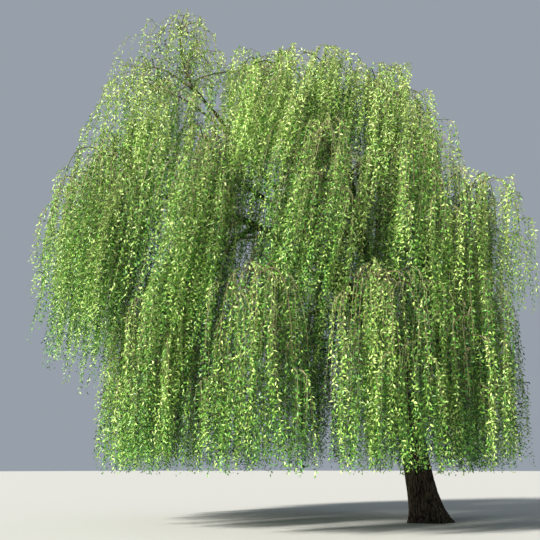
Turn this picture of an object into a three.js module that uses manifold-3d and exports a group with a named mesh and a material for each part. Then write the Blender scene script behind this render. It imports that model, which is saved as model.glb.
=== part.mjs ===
// A mature weeping willow in spring leaf, at its real size in millimetres, +Z up.
// The origin is the centre of the flat cut under the trunk, at ground level. The tree is seen
// from -Y: it leans and spreads to -X, where an airy spire of younger limbs tops the crown.
//
// The tree is a trunk, limbs that fork from it and from each other, and masses of foliage. Each
// mass is one stem that grows on from a limb's tip, with arching twigs that hang from it and long
// drooping sprays of leaf on them. A mass keeps to its own space round a vertical line, its plumb
// line, from its top down to its foot: a twig is cut back where it would leave that space or
// touch a limb, and a spray that would do so is left out.

import * as THREE from "three";
import { mergeVertices } from "three/addons/utils/BufferGeometryUtils.js";
import Module from "manifold-3d";

const wasm = await Module();
wasm.setup();

// The clearance that separate pieces of wood keep where they meet
const CLEARANCE = 0.3;

const TRUNK = {
  forkHeight: 3400,
  breastRadius: 395,
  forkRadius: 335,
  footSpread: 230,
  footHeight: 420,
  rootLobes: [
    { count: 5, depth: 0.09, turn: 0.4 },
    { count: 3, depth: 0.07, turn: 1.5 },
  ],
  lean: [-470, 40],
  bend: 0.45, // how far the lean eases off towards the fork
  sides: 20,
  steps: 8,
  crowding: 1.6, // how much closer together the rings stand near the ground
};

// Limbs, each on its bearer at a share of the bearer's length, with its tip and its foot's radius.
// level says how far the limb has turned from its own slope to the horizontal by its tip.
const LIMBS = {
  west_bough: { on: "trunk", at: 0.95, tip: [-5300, -500, 11000], radius: 245, level: 0.25 },
  leader_bough: { on: "trunk", at: 0.93, tip: [-2700, 250, 12300], radius: 215, level: 0.1 },
  east_bough: { on: "trunk", at: 0.9, tip: [1350, 450, 9100], radius: 170, level: 0.5 },
  front_bough: { on: "trunk", at: 0.84, tip: [-250, -3050, 5750], radius: 150, level: 0.8 },
  back_bough: { on: "trunk", at: 0.86, tip: [-300, 3350, 6700], radius: 155, level: 0.7 },
  far_west_bough: { on: "west_bough", at: 0.4, tip: [-8300, -150, 9700], radius: 165, level: 0.7 },
  spire_bough: { on: "west_bough", at: 0.66, tip: [-6950, 150, 13450], radius: 105, level: 0.05 },
  shoulder_limb: { on: "leader_bough", at: 0.6, tip: [-450, 400, 11500], radius: 105, level: 0.3 },
  upper_front_limb: { on: "leader_bough", at: 0.72, tip: [-3250, -1750, 11500], radius: 95, level: 0.4 },
  upper_back_limb: { on: "leader_bough", at: 0.67, tip: [-3150, 2150, 11350], radius: 95, level: 0.4 },
  middle_front_limb: { on: "leader_bough", at: 0.5, tip: [-2250, -2700, 9300], radius: 110, level: 0.6 },
  middle_back_limb: { on: "leader_bough", at: 0.46, tip: [-2150, 2800, 9250], radius: 110, level: 0.6 },
  west_front_limb: { on: "west_bough", at: 0.55, tip: [-5700, -2850, 9200], radius: 110, level: 0.6 },
  west_back_limb: { on: "west_bough", at: 0.5, tip: [-5600, 2900, 9150], radius: 110, level: 0.6 },
  skirt_front_limb: { on: "west_bough", at: 0.26, tip: [-3700, -3350, 6500], radius: 120, level: 0.8 },
  skirt_back_limb: { on: "west_bough", at: 0.23, tip: [-3400, 3300, 6500], radius: 120, level: 0.8 },
  skirt_west_front_limb: { on: "far_west_bough", at: 0.5, tip: [-7050, -2150, 7000], radius: 95, level: 0.8 },
  skirt_west_back_limb: { on: "far_west_bough", at: 0.44, tip: [-6900, 2150, 6900], radius: 95, level: 0.8 },
  skirt_east_front_limb: { on: "east_bough", at: 0.3, tip: [1250, -1450, 6100], radius: 100, level: 0.8 },
  skirt_east_back_limb: { on: "east_bough", at: 0.36, tip: [1250, 1900, 6200], radius: 100, level: 0.8 },
};
const LIMB = {
  tipRadius: 75,
  mostOfBearer: 0.78, // a limb's foot is at most this share of its bearer's radius there
  alongBearer: 0.5, // how far it leaves along its bearer rather than straight for its tip
  leaving: 0.38, // shares of its length that steer it as it leaves its bearer and nears its tip
  arriving: 0.32,
  sides: 7,
  steps: 6,
  mostMasses: 5,
};

// Tiers of foliage: masses set evenly round an ellipse, seen from above, each hanging from top to foot
const TIERS = [
  { name: "skirt", masses: 11, centre: [-3250, 0], reach: [5150, 4600], top: 6000, foot: 1300, turn: 0.75 },
  { name: "middle", masses: 11, centre: [-4200, 0], reach: [5750, 4100], top: 9700, foot: 5700, turn: 0.6 },
  { name: "upper", masses: 7, centre: [-4250, 0], reach: [4500, 3250], top: 12200, foot: 8800, turn: 0.25 },
  { name: "top", masses: 4, centre: [-2750, 0], reach: [1850, 1350], top: 13650, foot: 11200, turn: 0 },
  { name: "spire", masses: 3, centre: [-7600, 0], reach: [1000, 1050], top: 14600, foot: 12300, turn: 0.42 },
];
// How much further than the settings say a tier's twigs reach, so that they meet their neighbours,
// and how steeply its tops climb towards the east
const SPREAD = { skirt: 1.25, middle: 1.55, upper: 1.5, top: 1.3, spire: 1.2 };
const CLIMB = { skirt: 0, middle: 0, upper: 0, top: 0, spire: 0.3 };
const TOP_SWAY = 260; // how far a mass's top may lie above or below its tier's
const REACH_SWAY = 0.05; // and, as a share, inside or outside its ellipse

const STEM = {
  radii: [24, 19],
  steps: 3,
  sides: 3,
  offset: 0.62, // where it stands on the limb's tip, as a share of the tip's radius
  spread: 2, // how many times that offset it steers away from its neighbours
  leaving: 0.35, // shares of its length that steer it out of the tip and in to its plumb line
  arriving: 0.25,
  lift: 0.14, // and up, so that it arches over
};
// The arching twigs of a mass: degrees that each swings from straight out, the share of the stem
// where it stands, and the shares of its own length where sprays stand, besides the one at its tip
const TWIGS = [
  { swing: 126, from: 0.76, sprays: [] },
  { swing: -126, from: 0.84, sprays: [0.52] },
  { swing: 62, from: 0.9, sprays: [0.68] },
  { swing: -62, from: 0.95, sprays: [0.6] },
  { swing: 0, from: 1, sprays: [0.52] },
];
const TWIG = {
  radii: [17, 9],
  steps: 4,
  leastPoints: 3, // a twig cut back further than this is left out
  sides: 3,
  swingSway: 14,
  reach: [640, 960],
  rise: [120, 330],
  drawnIn: [1, 0.8, 0.6, 0.4], // shares of its reach that a twig tries before it is cut back
  footSway: 480,
  leastDrop: 900,
  crestShare: 0.55, // how far out the twig steers for its crest
};
const SPRAY = { length: 2100, width: 340, thickness: 56, widest: 0.42, sunk: 0.008, splay: 0.5, droop: 1.6 };
const SPACE_MARGIN = 70; // kept to a neighbour's space
const WOOD_MARGIN = 40; // kept to any limb or other mass's stem
const SHOOT = {
  mass: "spire_foliage_01",
  height: 1600,
  lean: 140,
  radii: [15, 8],
  sprays: [0.45, 0.8],
  sprayLength: 620,
  firstTurn: 0.8,
};

const UP = new THREE.Vector3(0, 0, 1);
const GOLDEN_ANGLE = Math.PI * (3 - Math.sqrt(5));

// Draws between 0 and 1 that are the same on every run
function seededDraws(seed) {
  let state = seed;
  return () => {
    state = (state + 0x6d2b79f5) >>> 0;
    let mixed = Math.imul(state ^ (state >>> 15), state | 1);
    mixed ^= mixed + Math.imul(mixed ^ (mixed >>> 7), mixed | 61);
    return ((mixed ^ (mixed >>> 14)) >>> 0) / 4294967296;
  };
}

function vector([x, y, z]) {
  return new THREE.Vector3(x, y, z);
}

function between([low, high], share) {
  return low + (high - low) * share;
}

// Only positions, with shared corners merged, so that the shape is closed
function closedShape(geometry) {
  geometry.deleteAttribute("normal");
  geometry.deleteAttribute("uv");
  return mergeVertices(geometry, 1e-4);
}

function solidOf(geometry) {
  return new wasm.Manifold(
    new wasm.Mesh({
      numProp: 3,
      vertProperties: new Float32Array(geometry.getAttribute("position").array),
      triVerts: new Uint32Array(geometry.index.array),
    }),
  );
}

function geometryOf(solid) {
  const mesh = solid.getMesh();
  const geometry = new THREE.BufferGeometry();
  geometry.setAttribute("position", new THREE.BufferAttribute(mesh.vertProperties, 3));
  geometry.setIndex(new THREE.BufferAttribute(mesh.triVerts, 1));
  return geometry;
}

// The way along a line of points, and two directions across it that turn with it and don't twist
function framesAlong(points) {
  const frames = [];
  let across = null;
  points.forEach((_, row) => {
    const before = points[Math.max(row - 1, 0)];
    const after = points[Math.min(row + 1, points.length - 1)];
    const along = after.clone().sub(before).normalize();
    across ??= Math.abs(along.x) < 0.8 ? new THREE.Vector3(1, 0, 0) : new THREE.Vector3(0, 1, 0);
    across = across.clone().addScaledVector(along, -across.dot(along)).normalize();
    frames.push({ across, beside: across.clone().cross(along) });
  });
  return frames;
}

// Girths that run evenly from foot to tip, one for each point of a line
function taper(count, radii, grown = 0) {
  return [...Array(count).keys()].map((row) => {
    const radius = between(radii, row / (count - 1)) + grown;
    return { wide: radius, deep: radius };
  });
}

// A closed tube along a line of points, as wide and as deep at each as its girth there says. It
// comes to a point where the last girth is nothing.
function tubeAlong(points, girths, sides) {
  const last = points.length - 1;
  const tipRadius = girths[last].wide > 0 ? 1 : 0;
  const shell = closedShape(new THREE.CylinderGeometry(tipRadius, 1, 1, sides, last));
  const frames = framesAlong(points);
  const position = shell.getAttribute("position");
  const place = new THREE.Vector3();
  for (let i = 0; i < position.count; i++) {
    const row = Math.round((position.getY(i) + 0.5) * last);
    const radius = Math.hypot(position.getX(i), position.getZ(i)) || 1;
    place.copy(points[row]);
    place.addScaledVector(frames[row].across, (position.getX(i) / radius) * girths[row].wide);
    place.addScaledVector(frames[row].beside, (position.getZ(i) / radius) * girths[row].deep);
    position.setXYZ(i, place.x, place.y, place.z);
  }
  return solidOf(shell);
}

// The largest body of a solid, without the scraps that a cut can leave
function largestBody(solid) {
  return solid.decompose().reduce((best, body) => (body.volume() > best.volume() ? body : best));
}

function trunkCentre(height) {
  const share = height / TRUNK.forkHeight;
  const leaning = share * (1 + TRUNK.bend * (1 - share));
  return new THREE.Vector3(TRUNK.lean[0] * leaning, TRUNK.lean[1] * leaning, height);
}

function trunkRadius(height, angle) {
  const stem = between([TRUNK.breastRadius, TRUNK.forkRadius], height / TRUNK.forkHeight);
  const flare = Math.exp(-height / TRUNK.footHeight);
  const bulges = TRUNK.rootLobes.map(({ count, depth, turn }) => depth * Math.cos(count * angle + turn));
  const bulge = bulges.reduce((sum, part) => sum + part);
  return (stem + TRUNK.footSpread * flare) * (1 + bulge * flare);
}

// The trunk's level rings stand closer together in the root flare
function trunkSolid(grown = 0) {
  const shell = closedShape(new THREE.CylinderGeometry(1, 1, 1, TRUNK.sides, TRUNK.steps));
  const position = shell.getAttribute("position");
  for (let i = 0; i < position.count; i++) {
    const x = position.getX(i);
    const y = -position.getZ(i);
    const height = TRUNK.forkHeight * Math.pow(position.getY(i) + 0.5, TRUNK.crowding);
    const centre = trunkCentre(height);
    const radius = trunkRadius(height, Math.atan2(y, x)) + grown;
    const capped = position.getY(i) > 0.499 ? grown : 0;
    position.setXYZ(i, centre.x + x * radius, centre.y + y * radius, height + capped);
  }
  return solidOf(shell);
}

// A limb's middle line: it leaves partly along its bearer and has turned towards level by its tip
function limbLine(foot, bearerWay, tip, level) {
  const chord = tip.clone().sub(foot);
  const length = chord.length();
  const way = chord.clone().divideScalar(length);
  const leaving = bearerWay.clone().lerp(way, 1 - LIMB.alongBearer).normalize();
  const arriving = new THREE.Vector3(way.x, way.y, way.z * (1 - level)).normalize();
  const curve = new THREE.CubicBezierCurve3(
    foot,
    foot.clone().addScaledVector(leaving, length * LIMB.leaving),
    tip.clone().addScaledVector(arriving, -length * LIMB.arriving),
    tip,
  );
  return curve.getPoints(LIMB.steps);
}

function pointAlong(points, share) {
  const place = share * (points.length - 1);
  const row = Math.min(Math.floor(place), points.length - 2);
  return {
    point: points[row].clone().lerp(points[row + 1], place - row),
    way: points[row + 1].clone().sub(points[row]).normalize(),
  };
}

// Every limb with its line, its radii and the masses that it bears, the trunk first
function grownLimbs() {
  const rows = [...Array(LIMB.steps + 1).keys()];
  const limbs = new Map();
  limbs.set("trunk", {
    points: rows.map((row) => trunkCentre((row / LIMB.steps) * TRUNK.forkHeight)),
    radii: [TRUNK.breastRadius, TRUNK.forkRadius],
    bears: [],
  });
  for (const [name, { on, at, tip, radius, level }] of Object.entries(LIMBS)) {
    const bearer = limbs.get(on);
    const fork = pointAlong(bearer.points, at);
    limbs.set(name, {
      points: limbLine(fork.point, fork.way, vector(tip), level),
      radii: [Math.min(radius, between(bearer.radii, at) * LIMB.mostOfBearer), LIMB.tipRadius],
      bears: [],
    });
  }
  return limbs;
}

// Where each mass hangs: its plumb line's top, its foot, and the way out from the crown's middle
function plumbLines() {
  const lines = [];
  TIERS.forEach(({ name, masses, centre, reach, top, foot, turn }, tier) => {
    for (let i = 0; i < masses; i++) {
      const draw = seededDraws(100 * (tier + 1) + i);
      const angle = 2 * Math.PI * ((i + turn) / masses);
      const stretch = 1 + REACH_SWAY * (2 * draw() - 1);
      const out = new THREE.Vector3(Math.cos(angle), Math.sin(angle), 0);
      const anchor = new THREE.Vector3(
        centre[0] + reach[0] * stretch * out.x,
        centre[1] + reach[1] * stretch * out.y,
        top + CLIMB[name] * reach[0] * out.x + TOP_SWAY * (2 * draw() - 1),
      );
      const number = String(i + 1).padStart(2, "0");
      lines.push({ name: `${name}_foliage_${number}`, anchor, foot, out, draw, spread: SPREAD[name] });
    }
  });
  return lines;
}

// Each mass grows from the nearest limb tip with room for a stem, and rather from one below it
function shareOutTips(lines, limbs) {
  const pairs = [];
  for (const line of lines)
    for (const [name, limb] of limbs) {
      const { point } = tipOf(limb);
      const drop = Math.max(point.z - line.anchor.z, 0);
      if (name !== "trunk") pairs.push({ line, limb, gap: line.anchor.distanceTo(point) + drop });
    }
  pairs.sort((a, b) => a.gap - b.gap);
  for (const { line, limb } of pairs)
    if (!line.limb && limb.bears.length < LIMB.mostMasses) {
      line.limb = limb;
      limb.bears.push(line);
    }
  for (const limb of limbs.values()) placeStems(limb);
}

function tipOf({ points }) {
  return pointAlong(points, 1);
}

// The stems stand evenly round a tip, in the order of the ways that they go, so that none cross
function placeStems(limb) {
  const { point, way } = tipOf(limb);
  const side = UP.clone().cross(way).normalize();
  const over = way.clone().cross(side);
  const share = (2 * Math.PI) / limb.bears.length;
  for (const line of limb.bears) {
    const chord = line.anchor.clone().sub(point);
    line.bearing = Math.atan2(chord.dot(over), chord.dot(side));
  }
  limb.bears.sort((a, b) => a.bearing - b.bearing);
  const slips = limb.bears.map((line, i) => line.bearing - i * share);
  const turn = Math.atan2(
    slips.reduce((sum, slip) => sum + Math.sin(slip), 0),
    slips.reduce((sum, slip) => sum + Math.cos(slip), 0),
  );
  limb.bears.forEach((line, i) => {
    const angle = turn + i * share;
    line.offset = side.clone().multiplyScalar(Math.cos(angle)).addScaledVector(over, Math.sin(angle));
    line.offset.multiplyScalar(limb.radii[1] * STEM.offset);
  });
}

// A stem runs out along its limb and arches over to the top of its plumb line
function stemLine({ limb, offset, anchor, out }) {
  const { point, way } = tipOf(limb);
  const start = point.clone().add(offset).addScaledVector(way, -STEM.radii[0]);
  const length = start.distanceTo(anchor);
  return new THREE.CubicBezierCurve3(
    start,
    start.clone().addScaledVector(way, length * STEM.leaving).addScaledVector(offset, STEM.spread),
    anchor.clone().addScaledVector(out, -length * STEM.arriving).addScaledVector(UP, length * STEM.lift),
    anchor,
  ).getPoints(STEM.steps);
}

function distanceToPlumb({ anchor, foot }, point) {
  const below = Math.max(point.z - anchor.z, foot - point.z, 0);
  return Math.hypot(point.x - anchor.x, point.y - anchor.y, below);
}

function inOwnSpace(line, lines, point) {
  const own = distanceToPlumb(line, point) + SPACE_MARGIN;
  return lines.every((other) => other === line || distanceToPlumb(other, point) > own);
}

function boxesNear(one, other, gap) {
  const apart = (axis) => Math.max(one.min[axis] - other.max[axis], other.min[axis] - one.max[axis]);
  return [0, 1, 2].every((axis) => apart(axis) < gap);
}

// Whether a twig or spray stays clear of every limb and of the other masses' stems
function clearOfWood(line, piece, wood) {
  const box = piece.boundingBox();
  return wood.every((other) => {
    if (other.line === line || !boxesNear(box, other.box, WOOD_MARGIN)) return true;
    return piece.minGap(other.solid, WOOD_MARGIN) >= WOOD_MARGIN;
  });
}

// How a twig would grow: the way that it swings out from the stem, how far, and to which foot
function twigPlan(line, { swing, from }, draw) {
  const turn = THREE.MathUtils.degToRad(swing + TWIG.swingSway * (2 * draw() - 1));
  return {
    way: line.out.clone().applyAxisAngle(UP, turn),
    reach: between(TWIG.reach, draw()) * line.spread,
    rise: between(TWIG.rise, draw()),
    foot: line.foot + SPRAY.length + TWIG.footSway * draw(),
    start: pointAlong(line.stem, from).point,
  };
}

// The twig's arching line, drawn in to a share of its reach
function twigLine(line, { way, reach, rise, foot, start }, share) {
  const over = line.anchor.clone().addScaledVector(way, reach * share);
  const end = new THREE.Vector3(over.x, over.y, Math.min(foot, start.z - TWIG.leastDrop));
  const crest = start.clone().lerp(over, TWIG.crestShare).setZ(start.z + 2 * rise);
  const fall = end.clone().setZ(start.z + rise);
  return new THREE.CubicBezierCurve3(start, crest, fall, end).getPoints(TWIG.steps);
}

// A long closed leaf shape with eight faces, its root at the origin of its own line
function spraySolid(root, way, flat, length) {
  const shape = closedShape(new THREE.OctahedronGeometry(1));
  const position = shape.getAttribute("position");
  const across = flat.clone().cross(way).normalize();
  const thick = across.clone().cross(way);
  const scale = length / SPRAY.length;
  const place = new THREE.Vector3();
  for (let i = 0; i < position.count; i++) {
    const y = position.getY(i);
    const along = Math.abs(y) > 0.5 ? (y + 1) / 2 : SPRAY.widest;
    place.copy(root).addScaledVector(way, (along - SPRAY.sunk) * length);
    place.addScaledVector(across, (position.getX(i) * SPRAY.width * scale) / 2);
    place.addScaledVector(thick, (position.getZ(i) * SPRAY.thickness * scale) / 2);
    position.setXYZ(i, place.x, place.y, place.z);
  }
  return { solid: solidOf(shape), corners: cornersOf(position) };
}

function cornersOf(position) {
  return [...Array(position.count).keys()].map((i) => new THREE.Vector3().fromBufferAttribute(position, i));
}

// The way that a spray hangs from a twig
function hangingFrom(way, aside, splay) {
  return way.clone().addScaledVector(aside, splay).addScaledVector(UP, -SPRAY.droop).normalize();
}

// The sprays along a twig, set round it by the golden angle, each a little out from the twig
function spraysOn(twig, shares, length, firstTurn) {
  return shares.map((share, i) => {
    const { point, way } = pointAlong(twig, share);
    const turn = firstTurn + i * GOLDEN_ANGLE;
    const aside = new THREE.Vector3(Math.cos(turn), Math.sin(turn), 0);
    return spraySolid(point, hangingFrom(way, aside, SPRAY.splay), aside, length);
  });
}

// A twig whose tip widens into a last spray
function twigWithTipSpray(twig) {
  const { point: tip, way } = pointAlong(twig, 1);
  const hanging = hangingFrom(way, UP, 0).multiplyScalar(SPRAY.length);
  const points = [...twig, tip.clone().addScaledVector(hanging, SPRAY.widest), tip.clone().add(hanging)];
  const girths = taper(twig.length, TWIG.radii);
  girths.push({ wide: SPRAY.width / 2, deep: SPRAY.thickness / 2 }, { wide: 0, deep: 0 });
  return { points, solid: tubeAlong(points, girths, TWIG.sides) };
}

// A twig draws in, and then is cut back, until it and its tip's spray stay in the mass's space and
// clear of wood
function fittingTwig(line, plan, inside, wood) {
  for (let kept = TWIG.steps + 1; kept >= TWIG.leastPoints; kept--)
    for (const share of TWIG.drawnIn) {
      const twig = twigLine(line, plan, share).slice(0, kept);
      const { points, solid } = twigWithTipSpray(twig);
      if (inside(points.slice(2)) && clearOfWood(line, solid, wood)) return { twig, solid };
    }
  return undefined;
}

// A mass is its stem, its twigs and their sprays. A spray that would leave the mass's space or come
// near wood is left out.
function massSolid(line, lines, wood) {
  const inside = (points) => points.every((point) => inOwnSpace(line, lines, point));
  const pieces = [line.stemSolid];
  for (const rule of TWIGS) {
    const plan = twigPlan(line, rule, line.draw);
    const firstTurn = line.draw() * 2 * Math.PI;
    const grown = fittingTwig(line, plan, inside, wood);
    if (!grown) continue;
    pieces.push(grown.solid);
    for (const { solid, corners } of spraysOn(grown.twig, rule.sprays, SPRAY.length, firstTurn))
      if (inside(corners) && clearOfWood(line, solid, wood)) pieces.push(solid);
  }
  if (line.name === SHOOT.mass) pieces.push(...leadingShoot(line));
  const joined = wasm.Manifold.union(pieces);
  return largestBody(joined.subtract(line.limb.grown));
}

// The upright young shoot that tops the tree
function leadingShoot(line) {
  const foot = line.stem[line.stem.length - 1];
  const tip = foot.clone().add(new THREE.Vector3(SHOOT.lean, 0, SHOOT.height));
  const bow = foot.clone().lerp(tip, 0.5).add(new THREE.Vector3(-SHOOT.lean / 2, 0, 0));
  const twig = [foot, bow, tip];
  const sprays = spraysOn(twig, SHOOT.sprays, SHOOT.sprayLength, SHOOT.firstTurn);
  const stalk = tubeAlong(twig, taper(twig.length, SHOOT.radii), TWIG.sides);
  return [stalk, ...sprays.map(({ solid }) => solid)];
}

const bark = new THREE.MeshStandardMaterial({ color: 0x4a3f30, roughness: 0.95, metalness: 0 });
const youngBark = new THREE.MeshStandardMaterial({ color: 0x6b5a3a, roughness: 0.85, metalness: 0 });
const leaf = new THREE.MeshStandardMaterial({ color: 0x86a83a, roughness: 0.55, metalness: 0 });

const willow = new THREE.Group();

function addPiece(name, solid, material) {
  const mesh = new THREE.Mesh(geometryOf(solid), material);
  mesh.name = name;
  willow.add(mesh);
}

// The trunk is whole, and each limb is cut where it meets the wood that is there before it
const limbs = grownLimbs();
const standing = [];
for (const [name, limb] of limbs) {
  const isTrunk = name === "trunk";
  const rows = limb.points.length;
  let solid = isTrunk ? trunkSolid() : tubeAlong(limb.points, taper(rows, limb.radii), LIMB.sides);
  for (const wood of standing) solid = solid.subtract(wood);
  const tipPast = limb.points[limb.points.length - 1].clone();
  const way = tipPast.clone().sub(limb.points[limb.points.length - 2]).normalize();
  const longer = [...limb.points.slice(0, -1), tipPast.addScaledVector(way, CLEARANCE)];
  const girths = taper(rows, limb.radii, CLEARANCE / Math.cos(Math.PI / LIMB.sides));
  limb.grown = isTrunk ? trunkSolid(CLEARANCE) : tubeAlong(longer, girths, LIMB.sides);
  standing.push(limb.grown);
  addPiece(name, largestBody(solid), isTrunk ? bark : youngBark);
}

const lines = plumbLines();
shareOutTips(lines, limbs);
const wood = [...limbs.values()].map(({ grown }) => ({ solid: grown, box: grown.boundingBox() }));
for (const line of lines) {
  line.stem = stemLine(line);
  line.stemSolid = tubeAlong(line.stem, taper(line.stem.length, STEM.radii), STEM.sides);
  wood.push({ line, solid: line.stemSolid, box: line.stemSolid.boundingBox() });
}
for (const line of lines) addPiece(line.name, massSolid(line, lines, wood), leaf);

export default willow;
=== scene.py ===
import math
from collections import namedtuple
from dataclasses import dataclass, field
from functools import lru_cache

import bpy
import numpy as np
from mathutils import Matrix, Vector, noise


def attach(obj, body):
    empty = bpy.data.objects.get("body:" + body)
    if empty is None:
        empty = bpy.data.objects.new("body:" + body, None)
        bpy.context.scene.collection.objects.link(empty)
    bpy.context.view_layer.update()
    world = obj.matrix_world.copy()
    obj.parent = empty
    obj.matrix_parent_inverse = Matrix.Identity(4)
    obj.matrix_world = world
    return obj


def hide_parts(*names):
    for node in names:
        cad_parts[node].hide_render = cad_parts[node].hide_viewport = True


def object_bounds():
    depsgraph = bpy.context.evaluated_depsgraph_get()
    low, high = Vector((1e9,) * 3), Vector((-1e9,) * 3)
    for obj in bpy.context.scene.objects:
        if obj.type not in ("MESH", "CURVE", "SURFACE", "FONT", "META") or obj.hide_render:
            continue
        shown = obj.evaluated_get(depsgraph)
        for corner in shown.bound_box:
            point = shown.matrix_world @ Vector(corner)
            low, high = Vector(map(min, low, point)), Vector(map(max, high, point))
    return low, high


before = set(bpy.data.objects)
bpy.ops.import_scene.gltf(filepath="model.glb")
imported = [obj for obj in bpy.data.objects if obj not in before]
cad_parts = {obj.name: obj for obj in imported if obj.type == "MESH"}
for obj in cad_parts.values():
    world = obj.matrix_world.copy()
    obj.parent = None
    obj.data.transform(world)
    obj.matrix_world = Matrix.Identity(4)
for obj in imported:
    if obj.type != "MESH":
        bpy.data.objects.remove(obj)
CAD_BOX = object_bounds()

bl_info = {
    "name": "Weeping willow",
    "version": (1, 0, 0),
    "blender": (4, 5, 0),
    "location": "View3D > Sidebar > Willow",
    "description": "Grows a weeping willow's bark, twigs and leaves round its trunk and limbs",
    "category": "Object",
}

# Everything is in metres. The tree grows by the part's own rule, with the same named sizes: a trunk,
# limbs that fork from it, and masses of foliage that hang round vertical plumb lines. Finer twigs,
# hanging strands and leaves are then grown on from there.

UP = np.array([0.0, 0.0, 1.0])
GOLDEN_ANGLE = math.pi * (3 - math.sqrt(5))

Trunk = namedtuple("Trunk", "fork_height breast_radius fork_radius foot_spread foot_height lean bend")
TRUNK = Trunk(3.4, 0.395, 0.335, 0.23, 0.42, (-0.47, 0.04), 0.45)
RootLobe = namedtuple("RootLobe", "count depth turn")
ROOT_LOBES = (RootLobe(5, 0.09, 0.4), RootLobe(3, 0.07, 1.5))

# Each limb stands on its bearer at a share of the bearer's length. level says how far it has turned
# from its own slope to the horizontal by its tip.
LimbRule = namedtuple("LimbRule", "bearer at tip radius level")
LIMBS = {
    "west_bough": LimbRule("trunk", 0.95, (-5.3, -0.5, 11.0), 0.245, 0.25),
    "leader_bough": LimbRule("trunk", 0.93, (-2.7, 0.25, 12.3), 0.215, 0.1),
    "east_bough": LimbRule("trunk", 0.9, (1.35, 0.45, 9.1), 0.17, 0.5),
    "front_bough": LimbRule("trunk", 0.84, (-0.25, -3.05, 5.75), 0.15, 0.8),
    "back_bough": LimbRule("trunk", 0.86, (-0.3, 3.35, 6.7), 0.155, 0.7),
    "far_west_bough": LimbRule("west_bough", 0.4, (-8.3, -0.15, 9.7), 0.165, 0.7),
    "spire_bough": LimbRule("west_bough", 0.66, (-6.95, 0.15, 13.45), 0.105, 0.05),
    "shoulder_limb": LimbRule("leader_bough", 0.6, (-0.45, 0.4, 11.5), 0.105, 0.3),
    "upper_front_limb": LimbRule("leader_bough", 0.72, (-3.25, -1.75, 11.5), 0.095, 0.4),
    "upper_back_limb": LimbRule("leader_bough", 0.67, (-3.15, 2.15, 11.35), 0.095, 0.4),
    "middle_front_limb": LimbRule("leader_bough", 0.5, (-2.25, -2.7, 9.3), 0.11, 0.6),
    "middle_back_limb": LimbRule("leader_bough", 0.46, (-2.15, 2.8, 9.25), 0.11, 0.6),
    "west_front_limb": LimbRule("west_bough", 0.55, (-5.7, -2.85, 9.2), 0.11, 0.6),
    "west_back_limb": LimbRule("west_bough", 0.5, (-5.6, 2.9, 9.15), 0.11, 0.6),
    "skirt_front_limb": LimbRule("west_bough", 0.26, (-3.7, -3.35, 6.5), 0.12, 0.8),
    "skirt_back_limb": LimbRule("west_bough", 0.23, (-3.4, 3.3, 6.5), 0.12, 0.8),
    "skirt_west_front_limb": LimbRule("far_west_bough", 0.5, (-7.05, -2.15, 7.0), 0.095, 0.8),
    "skirt_west_back_limb": LimbRule("far_west_bough", 0.44, (-6.9, 2.15, 6.9), 0.095, 0.8),
    "skirt_east_front_limb": LimbRule("east_bough", 0.3, (1.25, -1.45, 6.1), 0.1, 0.8),
    "skirt_east_back_limb": LimbRule("east_bough", 0.36, (1.25, 1.9, 6.2), 0.1, 0.8),
}
BOUGHS = ("west_bough", "leader_bough", "east_bough", "front_bough", "back_bough", "far_west_bough")
LIMB_TIP_RADIUS = 0.075
LIMB_MOST_OF_BEARER = 0.78
LIMB_ALONG_BEARER = 0.5
LIMB_LEAVING = 0.38
LIMB_ARRIVING = 0.32
FORKING_STEPS = 6
MOST_MASSES = 5

Tier = namedtuple("Tier", "name masses centre reach top foot turn spread climb")
TIERS = (
    Tier("skirt", 11, (-3.25, 0.0), (5.15, 4.6), 6.0, 1.3, 0.75, 1.25, 0.0),
    Tier("middle", 11, (-4.2, 0.0), (5.75, 4.1), 9.7, 5.7, 0.6, 1.55, 0.0),
    Tier("upper", 7, (-4.25, 0.0), (4.5, 3.25), 12.2, 8.8, 0.25, 1.5, 0.0),
    Tier("top", 4, (-2.75, 0.0), (1.85, 1.35), 13.65, 11.2, 0.0, 1.3, 0.0),
    Tier("spire", 3, (-7.6, 0.0), (1.0, 1.05), 14.6, 12.3, 0.42, 1.2, 0.3),
)
TOP_SWAY = 0.26
REACH_SWAY = 0.05

STEM_OFFSET = 0.62
STEM_SPREAD = 2.0
STEM_LEAVING = 0.35
STEM_ARRIVING = 0.25
STEM_LIFT = 0.14
STEM_SINK = 0.024

TwigRule = namedtuple("TwigRule", "swing start")
TWIG_RULES = (
    TwigRule(126, 0.76),
    TwigRule(-126, 0.84),
    TwigRule(62, 0.9),
    TwigRule(-62, 0.95),
    TwigRule(0, 1.0),
)
TWIG_SWING_SWAY = 14
TWIG_REACH = (0.64, 0.96)
TWIG_RISE = (0.12, 0.33)
TWIG_FOOT_SWAY = 0.48
TWIG_LEAST_DROP = 0.9
TWIG_CREST_SHARE = 0.55
TWIG_DRAWN_IN = (1.0, 0.8, 0.6, 0.4)
SPRAY_LENGTH = 2.1
SPACE_MARGIN = 0.07

# Tresses and strands keep to the box of the solids, but for this much, and leaves reach a little past
BOX_MIDDLE = np.array((CAD_BOX[0] + CAD_BOX[1]) / 2)
BOX_HALF = np.array((CAD_BOX[1] - CAD_BOX[0]) / 2)
BOX_MARGIN = 0.1

SHOOT_MASS = "spire_foliage_01"
SHOOT_HEIGHT = 1.6
SHOOT_LEAN = 0.14
SHOOT_VIGOUR = 0.38

# A limb that carries masses bears tresses too, on its outer part
LIMB_LEAFY_FROM = 13
LIMB_VIGOUR = 1.15

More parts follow.
